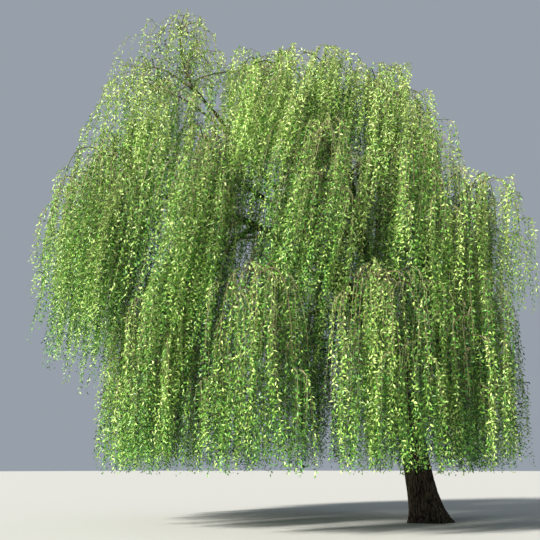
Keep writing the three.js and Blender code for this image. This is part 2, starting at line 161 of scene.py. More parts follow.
# How each tier's finer growth differs. As shares of the settings: the number of tresses on a twig and
# how far they reach, the number of strands in a tress, their length, how unevenly they end, how
# closely they are set with leaves and how far they lean. By itself: how much further tresses reach to
# the left, how far below the tier's foot the lowest strands hang, how much higher they end for each
# share of the ring's size beyond the ring, how many times the ring's size the growth may reach, the
# share that a strand is drawn in to where it doesn't fit (0 for none) and by how many tints its leaves
# are shifted as painted light and shade: darker as painted shade low in the crown, paler below 0 as
# painted light high in it.
Habit = namedtuple(
    "Habit", "tresses reach strands length hem leafing drift sweep below rise limit drawn_in deeper"
)
HABITS = {
    "skirt": Habit(1.2, 1.0, 1.0, 1.45, 1.0, 0.95, 0.2, 0.0, 0.0, 0.0, 1.2, 0.0, 0.5),
    "middle": Habit(1.0, 1.0, 1.0, 1.55, 2.4, 0.92, 1.3, 0.2, 2.4, 8.0, 1.33, 0.65, 0.1),
    "upper": Habit(1.05, 1.15, 1.0, 1.25, 2.6, 0.95, 1.3, 1.3, 1.6, 3.0, 1.53, 0.3, -0.4),
    "top": Habit(1.1, 1.0, 1.0, 1.0, 2.0, 0.95, 1.3, 0.2, 1.2, 0.0, 1.85, 0.0, -0.9),
    "spire": Habit(0.9, 1.0, 0.6, 0.42, 2.0, 0.5, 0.7, 0.9, 0.8, 0.0, 2.4, 0.4, -0.7),
}

FINE_LIMB_STEPS = 24
STEM_STEPS = 8
TWIG_STEPS = 12
TRESS_STEPS = 4
STRAND_SHARES = np.array([0.0, 0.2, 0.52, 1.0])

STEM_RADIUS = 0.024
STEM_SWELL = 0.018
STEM_SWELL_FADE = 6
TWIG_RADII = (0.018, 0.008)
TRESS_RADII = (0.008, 0.004)
STRAND_TAPER = (1.0, 0.35)
TWIG_CLEARANCE = 0.06

# A tress: how unevenly it is placed and turned, how much shorter it is at its twig's tip, and, where
# it grows in towards the crown's middle, the share of its reach that it keeps. Its curve is steered at
# shares of its reach along its twig and aside and of its rise, and then of its reach and its drop.
TRESS_LEAST_PLACE = 0.02
TRESS_SCATTER = 0.03
TRESS_TURN_SWAY = 0.35
TRESS_TAPER = 0.3
TRESS_INWARD = -0.3
TRESS_INWARD_REACH = 0.75
TRESS_LEAST_ROOM = 0.1
TRESS_ROOM_USED = 0.95
TRESS_DROP = (0.15, 0.45)
TRESS_LEAVING = (0.3, 0.4, 1.3)
TRESS_ARRIVING = (0.85, 0.2)

# A strand: where the first stands on its tress, how uneven its place, turn and length are, how it
# bends over, and how the hem's unevenness is shared between its tress and itself
STRANDS_FROM = 0.3
STRAND_LEAST_PLACE = 0.1
STRAND_SCATTER = 0.04
STRAND_TURN_SWAY = 0.9
STRAND_LENGTH_SWAY = (0.72, 1.08)
STRAND_LEAST_LENGTH = 0.25
STRAND_CLEARANCE = 0.02
STRAND_LEAVING = (0.6, 0.4)
STRAND_BEND_SHARE = 0.22
STRAND_MOST_BEND = 0.3
STRAND_LIFT = 0.05
STRAND_ARRIVING = (0.3, 0.45)
STRAND_BOW = 0.045
STRAND_GROUP_LEAN = 0.025
STRAND_SIDE_UPRIGHT = 0.75
HEM_POWER = 1.5
HEM_OF_TRESS = 0.7
HEM_OF_STRAND = 0.3

# Which rows of a tress and places on a twig bear leaves, as what share of a strand's leaves
TRESS_LEAF_ROWS = (0, 1, 3, 4)
TRESS_LEAFING = 0.9
TWIG_LEAF_SHARES = (0.25, 0.5, 0.75, 1.0)
TWIG_LEAFING = 0.9
BARE_LEAFING = 0.12
LEAFING_SWAY = (0.85, 1.1)

# Leaves: angles in degrees, the stalk in metres, the rest as shares
LEAF_SEED = 7000
LEAF_PLACE_SWAY = (0.1, 0.9)
LEAF_SPAN = (0.04, 1)
LEAF_CROWDING = 0.9
LEAF_STALK = 0.003
LEAF_OPENING = (18, 105)
LEAF_ROLL = 50
LEAF_TURN_SWAY = 0.3
LEAF_DROOP = 0.15
LEAF_SIZE_SWAY = (0.82, 1.12)
LEAF_TAPER = 0.2
LEAF_WIDEST_AT = 0.4
LEAF_FOLD = 0.45

# Tints, from the palest: paler on the crown's outside as painted light, darker inside it as painted shade.
# Each leaf may differ from its strand.
TINT_NAMES = ("young", "sunlit", "bright", "middling", "green", "deep")
TINT_OUTERMOST = 1.1
TINTS_TO_MIDDLE = 4.0
TINT_ON_OUTSIDE = 1.7
TINT_SWAY = 0.8
LEAF_TINT_SWAY = (-2, -1, -1, 0, 0, 0, 1, 1, 2)

# Wood: how the trunk's rings crowd at its foot, over what share of a limb its collar dies away, and how
# the bark's pattern bends, where and how wide its furrows are, and how deep they may cut
RING_CROWDING = 1.6
COLLAR_SHARE = 0.07
PATTERN_SHIFT = 0.37
PATTERN_BEND = 0.9
PATTERN_BEND_SCALE = 0.45
FURROW_WIDTH = 0.11
FINE_FURROW_WIDTH = 0.1
FINE_FURROW_SCALE = 2.3
FINE_FURROW_SHARE = 0.28
FINE_FURROW_SHIFT = Vector((7.1, 3.3, 1.9))
UNMOVED_RIDGE = 0.6
FURROW_MOST_OF_RADIUS = 0.11
LEAST_RADIUS = 0.02
POINTS_AT_ONCE = 8192

# Stage
FLOOR_SIDES = 128
KEY_DISTANCE = 40
VIEW_DEPTH = 400


def linear(red, green, blue):
    """A colour given as it looks on a screen, from 0 to 255, as the renderer counts light"""
    parts = [value / 255 for value in (red, green, blue)]
    return tuple(p / 12.92 if p <= 0.04045 else ((p + 0.055) / 1.055) ** 2.4 for p in parts)


# Growth


def unit(vector):
    return vector / np.linalg.norm(vector)


def units(vectors):
    return vectors / np.maximum(np.linalg.norm(vectors, axis=-1, keepdims=True), 1e-9)


def between(span, share):
    return span[0] + (span[1] - span[0]) * share


def seeded_draws(seed):
    """Draws between 0 and 1 that are the same on every run"""
    mask = 0xFFFFFFFF
    state = seed

    def draw():
        nonlocal state
        state = (state + 0x6D2B79F5) & mask
        mixed = ((state ^ (state >> 15)) * (state | 1)) & mask
        mixed ^= (mixed + ((mixed ^ (mixed >> 7)) * (mixed | 61))) & mask
        return (mixed ^ (mixed >> 14)) / 2**32

    return draw


def cubic(controls, shares):
    """Points of a cubic curve, or of many at once, at shares of its own parameter"""
    foot, leaving, arriving, tip = (np.asarray(c)[..., None, :] for c in controls)
    t = shares[:, None]
    return (1 - t) ** 3 * foot + 3 * (1 - t) ** 2 * t * leaving + 3 * (1 - t) * t**2 * arriving + t**3 * tip


def evenly(steps):
    return np.linspace(0, 1, steps + 1)


def point_along(points, share):
    place = share * (len(points) - 1)
    row = min(int(place), len(points) - 2)
    step = points[row + 1] - points[row]
    return points[row] + step * (place - row), unit(step)


def points_on(lines, which, shares):
    """The point and the way at a share of the true length of each chosen line"""
    steps = np.diff(lines, axis=1)
    lengths = np.linalg.norm(steps, axis=-1)
    ends = np.cumsum(lengths, axis=1)
    target = shares * ends[which, -1]
    rows = (target[:, None] > ends[which, :-1]).sum(axis=1)
    into = (target - ends[which, rows] + lengths[which, rows]) / lengths[which, rows]
    chosen = steps[which, rows]
    return lines[which, rows] + chosen * into[:, None], units(chosen)


def trunk_centre(height):
    share = height / TRUNK.fork_height
    leaning = share * (1 + TRUNK.bend * (1 - share))
    return np.array([TRUNK.lean[0] * leaning, TRUNK.lean[1] * leaning, height])


def trunk_radius(height):
    """The trunk's radius before its root lobes"""
    stem = between((TRUNK.breast_radius, TRUNK.fork_radius), max(height, 0) / TRUNK.fork_height)
    return stem + TRUNK.foot_spread * math.exp(-max(height, 0) / TRUNK.foot_height)


@dataclass
class Limb:
    controls: tuple
    radii: tuple
    bears: list = field(default_factory=list)

    def points(self, steps):
        return cubic(self.controls, evenly(steps))

    def radius(self, share):
        return between(self.radii, share)

    def tip(self):
        return point_along(self.points(FORKING_STEPS), 1)


@dataclass
class Mass:
    name: str
    tier: Tier
    seed: int
    anchor: np.ndarray
    out: np.ndarray
    draw: object
    limb: Limb = None
    bearing: float = 0.0
    offset: np.ndarray = None


def limb_controls(foot, bearer_way, tip, level):
    """A limb leaves partly along its bearer and has turned towards level by its tip"""
    chord = tip - foot
    length = np.linalg.norm(chord)
    way = chord / length
    leaving = unit(bearer_way + (way - bearer_way) * (1 - LIMB_ALONG_BEARER))
    arriving = unit(way * np.array([1, 1, 1 - level]))
    return foot, foot + leaving * length * LIMB_LEAVING, tip - arriving * length * LIMB_ARRIVING, tip


@lru_cache(maxsize=1)
def grown_limbs():
    """Every limb by name, the trunk first"""
    lean = np.array([*TRUNK.lean, 0.0])
    rise = np.array([0.0, 0.0, TRUNK.fork_height])
    controls = (
        np.zeros(3),
        lean * (1 + TRUNK.bend) / 3 + rise / 3,
        lean * (2 + TRUNK.bend) / 3 + rise * 2 / 3,
        lean + rise,
    )
    limbs = {"trunk": Limb(controls, (TRUNK.breast_radius, TRUNK.fork_radius))}
    for name, rule in LIMBS.items():
        bearer = limbs[rule.bearer]
        foot, way = point_along(bearer.points(FORKING_STEPS), rule.at)
        radius = min(rule.radius, bearer.radius(rule.at) * LIMB_MOST_OF_BEARER)
        controls = limb_controls(foot, way, np.array(rule.tip), rule.level)
        limbs[name] = Limb(controls, (radius, LIMB_TIP_RADIUS))
    return limbs


TwigPlan = namedtuple("TwigPlan", "way reach rise foot start")


def plumb_lines():
    """Where each mass hangs: its top, its tier and the way out from the crown's middle"""
    masses = []
    for number, tier in enumerate(TIERS):
        for i in range(tier.masses):
            seed = 100 * (number + 1) + i
            draw = seeded_draws(seed)
            angle = 2 * math.pi * (i + tier.turn) / tier.masses
            stretch = 1 + REACH_SWAY * (2 * draw() - 1)
            out = np.array([math.cos(angle), math.sin(angle), 0.0])
            top = tier.top + tier.climb * tier.reach[0] * out[0] + TOP_SWAY * (2 * draw() - 1)
            anchor = np.array([*tier.centre, top])
            anchor[:2] += np.array(tier.reach) * stretch * out[:2]
            masses.append(Mass(f"{tier.name}_foliage_{i + 1:02d}", tier, seed, anchor, out, draw))
    return masses


def share_out_tips(masses, limbs):
    """Each mass grows from the nearest limb tip with room for a stem, and rather from one below it"""
    pairs = []
    for mass in masses:
        for name, limb in limbs.items():
            point = limb.tip()[0]
            gap = np.linalg.norm(mass.anchor - point) + max(point[2] - mass.anchor[2], 0)
            if name != "trunk":
                pairs.append((gap, mass, limb))
    pairs.sort(key=lambda pair: pair[0])
    for _, mass, limb in pairs:
        if mass.limb is None and len(limb.bears) < MOST_MASSES:
            mass.limb = limb
            limb.bears.append(mass)
    for limb in limbs.values():
        if limb.bears:
            place_stems(limb)


def place_stems(limb):
    """The stems stand evenly round a tip, in the order of the ways that they go, so none cross"""
    point, way = limb.tip()
    side = unit(np.cross(UP, way))
    over = np.cross(way, side)
    share = 2 * math.pi / len(limb.bears)
    for mass in limb.bears:
        chord = mass.anchor - point
        mass.bearing = math.atan2(chord @ over, chord @ side)
    limb.bears.sort(key=lambda mass: mass.bearing)
    slips = [mass.bearing - i * share for i, mass in enumerate(limb.bears)]
    turn = math.atan2(sum(map(math.sin, slips)), sum(map(math.cos, slips)))
    for i, mass in enumerate(limb.bears):
        angle = turn + i * share
        mass.offset = (side * math.cos(angle) + over * math.sin(angle)) * LIMB_TIP_RADIUS * STEM_OFFSET


def stem_line(mass):
    """A stem runs out along its limb and arches over to the top of its plumb line"""
    point, way = mass.limb.tip()
    start = point + mass.offset - way * STEM_SINK
    length = np.linalg.norm(start - mass.anchor)
    leaving = start + way * length * STEM_LEAVING + mass.offset * STEM_SPREAD
    arriving = mass.anchor - mass.out * length * STEM_ARRIVING + UP * length * STEM_LIFT
    return cubic((start, leaving, arriving, mass.anchor), evenly(STEM_STEPS))


def twig_plan(mass, rule, stem):
    """How a twig would grow: the way that it swings out from the stem, how far, and to which foot"""
    turn = math.radians(rule.swing + TWIG_SWING_SWAY * (2 * mass.draw() - 1))
    way = np.array(Matrix.Rotation(turn, 3, "Z") @ Vector(mass.out))
    reach = between(TWIG_REACH, mass.draw()) * mass.tier.spread
    rise = between(TWIG_RISE, mass.draw())
    foot = mass.tier.foot + SPRAY_LENGTH + TWIG_FOOT_SWAY * mass.draw()
    return TwigPlan(way, reach, rise, foot, point_along(stem, rule.start)[0])


def twig_line(mass, plan, share):
    """The twig's arching line, drawn in to a share of its reach"""
    start = plan.start
    over = mass.anchor + plan.way * plan.reach * share
    crest = start + (over - start) * TWIG_CREST_SHARE
    crest[2] = start[2] + 2 * plan.rise
    end = np.array([over[0], over[1], min(plan.foot, start[2] - TWIG_LEAST_DROP)])
    fall = np.array([end[0], end[1], start[2] + plan.rise])
    return cubic((start, crest, fall, end), evenly(TWIG_STEPS))


def fitting_twig(masses, number, wood, plan):
    """A twig draws in, and then is cut back, until it stays in its mass's space and clear of wood"""
    for share in TWIG_DRAWN_IN:
        twig = twig_line(masses[number], plan, share)
        hanging = np.vstack([twig, twig[-1] - UP * SPRAY_LENGTH])
        fits = space_kept(masses, number, hanging) > SPACE_MARGIN
        fits &= gap_to_wood(wood, hanging) > TWIG_CLEARANCE
        fits[: TWIG_STEPS // 3] = True
        if fits.all():
            return twig
    return twig[: min(int(np.argmin(fits)), len(twig))]


def space_kept(masses, number, points):
    """How much nearer each point is to its own mass's plumb line than to any other"""
    anchors = np.array([mass.anchor for mass in masses])
    feet = np.array([mass.tier.foot for mass in masses])
    aside = np.linalg.norm(points[..., None, :2] - anchors[:, :2], axis=-1)
    height = points[..., None, 2]
    beyond = np.maximum(np.maximum(height - anchors[:, 2], feet - height), 0)
    gaps = np.hypot(aside, beyond)
    own = gaps[..., number].copy()
    gaps[..., number] = np.inf
    return gaps.min(axis=-1) - own


def wood_rows(limbs):
    """Points along every limb, each with the limb's radius there"""
    shares = evenly(FINE_LIMB_STEPS)
    centres = [limb.points(FINE_LIMB_STEPS) for limb in limbs.values()]
    radii = [limb.radius(shares) for limb in limbs.values()]
    return np.concatenate(centres), np.concatenate(radii)


def gap_to_wood(wood, points):
    centres, radii = wood
    return (np.linalg.norm(points[..., None, :] - centres, axis=-1) - radii).min(axis=-1)


@dataclass
class Growth:
    """What one mass grows: lines of points. The first twig is the stem. Each leafy line, along a
    strand, a tress or an arching twig, has a tint and a share of the settings' leaves."""

    mass: Mass
    twigs: list
    tresses: np.ndarray
    strands: np.ndarray
    leafy: np.ndarray
    tints: np.ndarray
    leafing: np.ndarray


def in_box(lines):
    return (np.abs(lines - BOX_MIDDLE) < BOX_HALF + BOX_MARGIN).all(axis=(-1, -2))


def flat_ways(turns):
    return np.stack([np.cos(turns), np.sin(turns), np.zeros_like(turns)], axis=-1)


def tress_lines(draws, mass, twig, span, vigour, habit, settings):
    """Side twigs along a twig, set round it by the golden angle, that arch out and begin to hang"""
    share_kept = (len(twig) - 1) / TWIG_STEPS
    count = max(round(settings.tresses * habit.tresses * share_kept), 2)
    shares = between(span, evenly(count - 1)) + draws.normal(0, TRESS_SCATTER, count)
    shares = np.clip(shares, TRESS_LEAST_PLACE, 1)
    points, ways = points_on(twig[None], np.zeros(count, int), shares)
    turns = draws.uniform(0, 2 * math.pi) + GOLDEN_ANGLE * np.arange(count)
    aside = flat_ways(turns + draws.normal(0, TRESS_TURN_SWAY, count))
    reach = between(settings.tress_reach, draws.random(count)) * (1 - TRESS_TAPER * shares) * vigour
    reach *= habit.reach * (1 + habit.sweep * np.maximum(-aside[:, 0], 0))
    reach[aside @ mass.out < TRESS_INWARD] *= TRESS_INWARD_REACH
    sides = BOX_MIDDLE[:2] + np.copysign(BOX_HALF[:2] + BOX_MARGIN, aside[:, :2])
    room = ((sides - points[:, :2]) / aside[:, :2]).min(axis=-1)
    reach = np.minimum(reach, np.maximum(room, TRESS_LEAST_ROOM) * TRESS_ROOM_USED)
    rise = between(settings.tress_rise, draws.random(count)) * (1 - shares)
    drop = draws.uniform(*TRESS_DROP, count) * reach
    reach, rise, drop = reach[:, None], rise[:, None], drop[:, None]
    along, out, up = TRESS_LEAVING
    leaving = points + (ways * along + aside * out) * reach + UP * rise * up
    out, down = TRESS_ARRIVING
    arriving = points + aside * reach * out + UP * (rise - drop * down)
    tips = points + aside * reach - UP * drop
    return cubic((points, leaving, arriving, tips), evenly(TRESS_STEPS)), aside


def strand_lengths(draws, mass, starts, vigour, habit, settings):
    """How long each strand is. It ends at its tier's uneven hem, if it is long enough."""
    tresses = len(starts)
    length = between(settings.strand_length, draws.random(tresses))[:, None] * habit.length
    length = length * draws.uniform(*STRAND_LENGTH_SWAY, starts.shape[:2]) * min(vigour, 1)
    uneven = HEM_OF_TRESS * draws.random(tresses)[:, None] ** HEM_POWER
    uneven = uneven + HEM_OF_STRAND * draws.random(starts.shape[:2]) ** HEM_POWER
    edge = np.maximum(outwardness(mass.tier, starts) - 1, 0)
    hem = mass.tier.foot - habit.below + settings.hem_sway * habit.hem * uneven + habit.rise * edge
    return np.minimum(length, starts[..., 2] - hem)[..., None]


def strand_lines(draws, mass, tresses, aside, vigour, habit, settings):
    """The strands of each tress: they leave it along its line, bend over and hang to their feet"""
    count = max(round(settings.strands * habit.strands), 2)
    shares = np.linspace(STRANDS_FROM, 1, count) + draws.normal(0, STRAND_SCATTER, (len(tresses), count))
    shares = np.clip(shares, STRAND_LEAST_PLACE, 1)
    place = shares * TRESS_STEPS
    rows = np.minimum(place.astype(int), TRESS_STEPS - 1)
    which = np.arange(len(tresses))[:, None]
    steps = tresses[which, rows + 1] - tresses[which, rows]
    starts = tresses[which, rows] + steps * (place - rows)[..., None]
    ways = units(steps)
    turns = np.arctan2(aside[:, 1], aside[:, 0])[:, None]
    out = flat_ways(turns + draws.normal(0, STRAND_TURN_SWAY, shares.shape))
    spread = draws.uniform(*settings.strand_spread, shares.shape)[..., None]
    length = strand_lengths(draws, mass, starts, vigour, habit, settings)
    lean = habit.drift * (1 - STRAND_SIDE_UPRIGHT * abs(mass.out[0]))
    drift = np.array([*settings.drift, 0.0]) * lean + draws.normal(0, STRAND_GROUP_LEAN, 3) * [1, 1, 0]
    drift = drift + flat_ways(draws.uniform(0, 2 * math.pi, shares.shape)) * settings.strand_lean
    ends = starts + out * spread + drift * length - UP * length
    bow = draws.normal(0, STRAND_BOW, (*shares.shape, 3)) * length
    along, aside = STRAND_LEAVING
    bend = np.minimum(length * STRAND_BEND_SHARE, STRAND_MOST_BEND)
    leaving = starts + (ways * along + out * aside) * bend + UP * STRAND_LIFT
    drifted, fallen = STRAND_ARRIVING
    arriving = starts + out * spread + drift * length * drifted - UP * length * fallen + bow * [1, 1, 0]
    return cubic((starts, leaving, arriving, ends), STRAND_SHARES), length[..., 0]


def outwardness(tier, points):
    """How far out in its tier each point is, from 0 at the middle to 1 at the tier's own ring"""
    return np.linalg.norm((points[..., :2] - tier.centre) / np.array(tier.reach), axis=-1)


def tints_for(draws, lines, mass):
    """A tint for each strand: yellower on the crown's outside as painted light, darker inside it as painted
    shade, and shifted by its tier's painted light and shade
    """
    outward = outwardness(mass.tier, lines[:, :, 2])
    depth = (TINT_OUTERMOST - outward) * TINTS_TO_MIDDLE + HABITS[mass.tier.name].deeper
    depth = depth + draws.normal(0, TINT_SWAY, len(lines))[:, None]
    depth = depth + draws.normal(0, TINT_SWAY, outward.shape)
    return np.clip(np.round(depth + TINT_ON_OUTSIDE), 0, len(TINT_NAMES) - 1).astype(int)


def fitting_strands(masses, number, wood, strands, tresses, anywhere, settings):
    """Which strands hang clear of the wood, and keep to the box, to their tier's limit and, unless
    they may hang anywhere, to their mass's own space"""
    tier = masses[number].tier
    fits = (space_kept(masses, number, strands) > -settings.overlap).all(axis=-1) | anywhere
    for lines in (strands, tresses[:, None]):
        fits &= in_box(lines) & (outwardness(tier, lines) < HABITS[tier.name].limit).all(axis=-1)
    return fits & (gap_to_wood(wood, strands[..., 1:, :]) > STRAND_CLEARANCE).all(axis=-1)


def grown_mass(number, masses, wood, settings):
    """Everything that one mass grows, from its stem to its strands"""
    mass = masses[number]
    habit = HABITS[mass.tier.name]
    draws = np.random.default_rng(mass.seed)
    twigs = [stem_line(mass)]
    for rule in TWIG_RULES:
        plan = twig_plan(mass, rule, twigs[0])
        mass.draw()  # The part's rule uses this draw for its sprays
        line = fitting_twig(masses, number, wood, plan)
        twigs.append(line[outwardness(mass.tier, line) < habit.limit])
    if mass.name == SHOOT_MASS:
        foot = twigs[0][-1]
        tip = foot + np.array([SHOOT_LEAN, 0, SHOOT_HEIGHT])
        bow = (foot + tip) / 2 - np.array([SHOOT_LEAN / 2, 0, 0])
        twigs.append(cubic((foot, bow, bow, tip), evenly(TWIG_STEPS)))
    vigours = [mass.tier.spread**0.5] * (1 + len(TWIG_RULES)) + [SHOOT_VIGOUR]
    bearers = list(zip(twigs, vigours))
    if mass is mass.limb.bears[0]:
        bearers.append((mass.limb.points(FINE_LIMB_STEPS)[LIMB_LEAFY_FROM:], LIMB_VIGOUR))
    tresses, strands, leafy, tints, leafing = [], [], [], [], []
    for place, (bearer, vigour) in enumerate(bearers):
        on_limb = place >= len(twigs)
        span = settings.tress_span if place else settings.stem_span
        on_twig, aside = tress_lines(draws, mass, bearer, span, vigour, habit, settings)
        hanging, length = strand_lines(draws, mass, on_twig, aside, vigour, habit, settings)
        shade = tints_for(draws, hanging, mass)
        long = length > STRAND_LEAST_LENGTH
        grows = long & fitting_strands(masses, number, wood, hanging, on_twig, on_limb, settings)
        if habit.drawn_in:
            starts = hanging[..., :1, :]
            shorter = starts + (hanging - starts) * habit.drawn_in
            hanging = np.where(grows[..., None, None], hanging, shorter)
            grows |= long & fitting_strands(masses, number, wood, hanging, on_twig, on_limb, settings)
        bearing = grows.any(axis=1)
        bare = draws.random(grows.sum()) < settings.bare_share
        tresses.append(on_twig[bearing])
        strands.append(hanging[grows])
        leafy.append(hanging[grows])
        tints.append(shade[grows])
        uneven = draws.uniform(*LEAFING_SWAY, grows.sum())
        leafing.append(np.where(bare, BARE_LEAFING, habit.leafing * uneven))
        if not on_limb:
            leafy.append(on_twig[bearing][:, TRESS_LEAF_ROWS])
            tints.append(shade[bearing, -1])
            leafing.append(np.full(bearing.sum(), habit.leafing * TRESS_LEAFING))
    dressed = np.array([[point_along(twig, share)[0] for share in TWIG_LEAF_SHARES] for twig in twigs[1:]])
    leafy.append(dressed)
    tints.append(tints_for(draws, dressed[:, None], mass)[:, 0])
    leafing.append(np.full(len(dressed), habit.leafing * TWIG_LEAFING))
    joined_parts = [np.concatenate(parts) for parts in (tresses, strands, leafy, tints, leafing)]
    return Growth(mass, twigs, *joined_parts)


FoliageSizes = namedtuple(
    "FoliageSizes",
    "tresses strands stem_span tress_span tress_reach tress_rise strand_length strand_spread strand_lean"
    " hem_sway drift overlap bare_share",
)


@lru_cache(maxsize=1)
def grown_crown(settings):
    limbs = grown_limbs()
    masses = plumb_lines()
    share_out_tips(masses, limbs)
    wood = wood_rows(limbs)
    return [grown_mass(number, masses, wood, settings) for number in range(len(masses))]


def crown_of(scene):
    """The crown as the settings have it, grown once for all the operators"""
    values = [getattr(scene.willow_foliage, name) for name in FoliageSizes._fields]
    return grown_crown(FoliageSizes(*(tuple(v) if hasattr(v, "__len__") else v for v in values)))


# Meshes made from arrays


def across_lines(lines):
    """Two directions across each line at each of its points, that turn with it and don't twist"""
    ways = units(np.gradient(lines, axis=1))
    across = np.empty_like(lines)
    turned = np.eye(3)[np.argmin(np.abs(ways[:, 0]), axis=-1)]
    for row in range(lines.shape[1]):
        turned = units(turned - (turned * ways[:, row]).sum(-1, keepdims=True) * ways[:, row])
        across[:, row] = turned
    return across, np.cross(ways, across)


def tube_arrays(lines, radii, sides):
    """Closed tubes along many lines at once, with a radius for each of a line's points. Each has a flat
    foot and comes to a point at its tip."""
    count, rows = lines.shape[:2]
    across, beside = across_lines(lines)
    turns = np.arange(sides) * 2 * math.pi / sides
    ring = across[:, :-1, None] * np.cos(turns)[:, None] + beside[:, :-1, None] * np.sin(turns)[:, None]
    body = lines[:, :-1, None] + ring * radii[:-1, None, None]
    vertices = np.concatenate([body.reshape(count, -1, 3), lines[:, -1:]], axis=1)
    side = np.arange(sides)
    after = (side + 1) % sides
    faces = []
    for row in range(rows - 2):
        low, high = row * sides, (row + 1) * sides
        faces.append(np.stack([low + side, low + after, high + after], axis=1))
        faces.append(np.stack([low + side, high + after, high + side], axis=1))
    last = (rows - 2) * sides
    faces.append(np.stack([last + side, last + after, np.full(sides, (rows - 1) * sides)], axis=1))
    faces.append(np.stack([np.zeros(sides - 2, int), side[2:], side[1:-1]], axis=1))
    faces = np.concatenate(faces)
    faces = faces[None] + (np.arange(count) * vertices.shape[1])[:, None, None]
    return vertices.reshape(-1, 3), faces.reshape(-1, 3)


def joined(parts):
    """Several arrays of vertices and faces as one"""
    vertices, faces, start = [], [], 0
    for corners, triangles in parts:
        vertices.append(corners)
        faces.append(triangles + start)
        start += len(corners)
    return np.concatenate(vertices), np.concatenate(faces)


def mesh_object(name, vertices, faces, smooth=False):
    """A new object from arrays of vertices and triangles"""
    mesh = bpy.data.meshes.new(name)
    mesh.vertices.add(len(vertices))
    mesh.vertices.foreach_set("co", vertices.astype(np.float32).ravel())
    mesh.loops.add(faces.size)
    mesh.loops.foreach_set("vertex_index", faces.astype(np.int32).ravel())
    mesh.polygons.add(len(faces))
    mesh.polygons.foreach_set("loop_start", np.arange(0, faces.size, 3, dtype=np.int32))
    mesh.polygons.foreach_set("use_smooth", np.full(len(faces), smooth))
    mesh.update(calc_edges=True)
    piece = bpy.data.objects.new(name, mesh)
    bpy.context.scene.collection.objects.link(piece)
    return piece


def leaf_arrays(draws, growths, sizes):
    """Leaves along every leafy line. A leaf is two faces folded along its midrib."""
    lines = np.concatenate([growth.leafy for growth in growths])
    tints = np.concatenate([growth.tints for growth in growths])
    leafing = np.concatenate([growth.leafing for growth in growths])
    lengths = np.linalg.norm(np.diff(lines, axis=1), axis=-1).sum(axis=1)
    counts = np.maximum((lengths * leafing / sizes.leaf_spacing).astype(int), 2)
    which = np.repeat(np.arange(len(lines)), counts)
    order = np.arange(counts.sum()) - np.repeat(np.cumsum(counts) - counts, counts)
    shares = (order + draws.uniform(*LEAF_PLACE_SWAY, len(order))) / counts[which]
    shares = between(LEAF_SPAN, shares**LEAF_CROWDING)
    points, ways = points_on(lines, which, shares)
    across = units(np.cross(ways, np.eye(3)[np.argmin(np.abs(ways), axis=-1)]))
    turns = GOLDEN_ANGLE * order + draws.uniform(0, 2 * math.pi, len(lines))[which]
    turns = (turns + draws.normal(0, LEAF_TURN_SWAY, len(order)))[:, None]
    radial = across * np.cos(turns) + np.cross(ways, across) * np.sin(turns)
    opening = np.radians(draws.uniform(*LEAF_OPENING, len(order)))[:, None]
    axis = units(ways * np.cos(opening) + radial * np.sin(opening) - UP * LEAF_DROOP)
    side = units(np.cross(axis, radial))
    face = np.cross(side, axis)
    roll = np.radians(draws.normal(0, LEAF_ROLL, len(order)))[:, None]
    side, face = side * np.cos(roll) + face * np.sin(roll), face * np.cos(roll) - side * np.sin(roll)
    size = draws.uniform(*LEAF_SIZE_SWAY, len(order)) * (1 - LEAF_TAPER * shares**4)
    long = (sizes.leaf_length * size)[:, None]
    half = (sizes.leaf_width * size)[:, None] / 2
    base = points + radial * LEAF_STALK
    widest = base + axis * long * LEAF_WIDEST_AT + face * half * LEAF_FOLD
    corners = np.stack([base, widest - side * half, base + axis * long, widest + side * half], axis=1)
    first = 4 * np.arange(len(order))[:, None, None]
    faces = np.array([[0, 2, 1], [0, 3, 2]])[None] + first
    chosen = tints[which] + draws.choice(LEAF_TINT_SWAY, len(order))
    chosen = np.clip(chosen, 0, len(TINT_NAMES) - 1)
    return corners.reshape(-1, 3), faces.reshape(-1, 3), np.repeat(chosen, 2)


# Materials


class Wire:
    """A socket that carries a number. Sums and products on it add the Math nodes that work them out."""

    def __init__(self, finish, socket):
        self.finish = finish
        self.socket = socket

    def math(self, operation, *values):
        return self.finish.node("ShaderNodeMath", {"operation": operation}, dict(enumerate(values)))

    def __add__(self, other):
        return self.math("ADD", self, other)

    def __sub__(self, other):
        return self.math("SUBTRACT", self, other)

    def __rsub__(self, other):
        return self.math("SUBTRACT", other, self)

    def __mul__(self, other):
        return self.math("MULTIPLY", self, other)

    __radd__ = __add__
    __rmul__ = __mul__

    def clamped(self):
        return self.finish.node("ShaderNodeClamp", {}, {0: self})

    def ramp(self, low, slope):
        """0 up to a value, and then rising by a slope to 1"""
        return ((self - low) * slope).clamped()


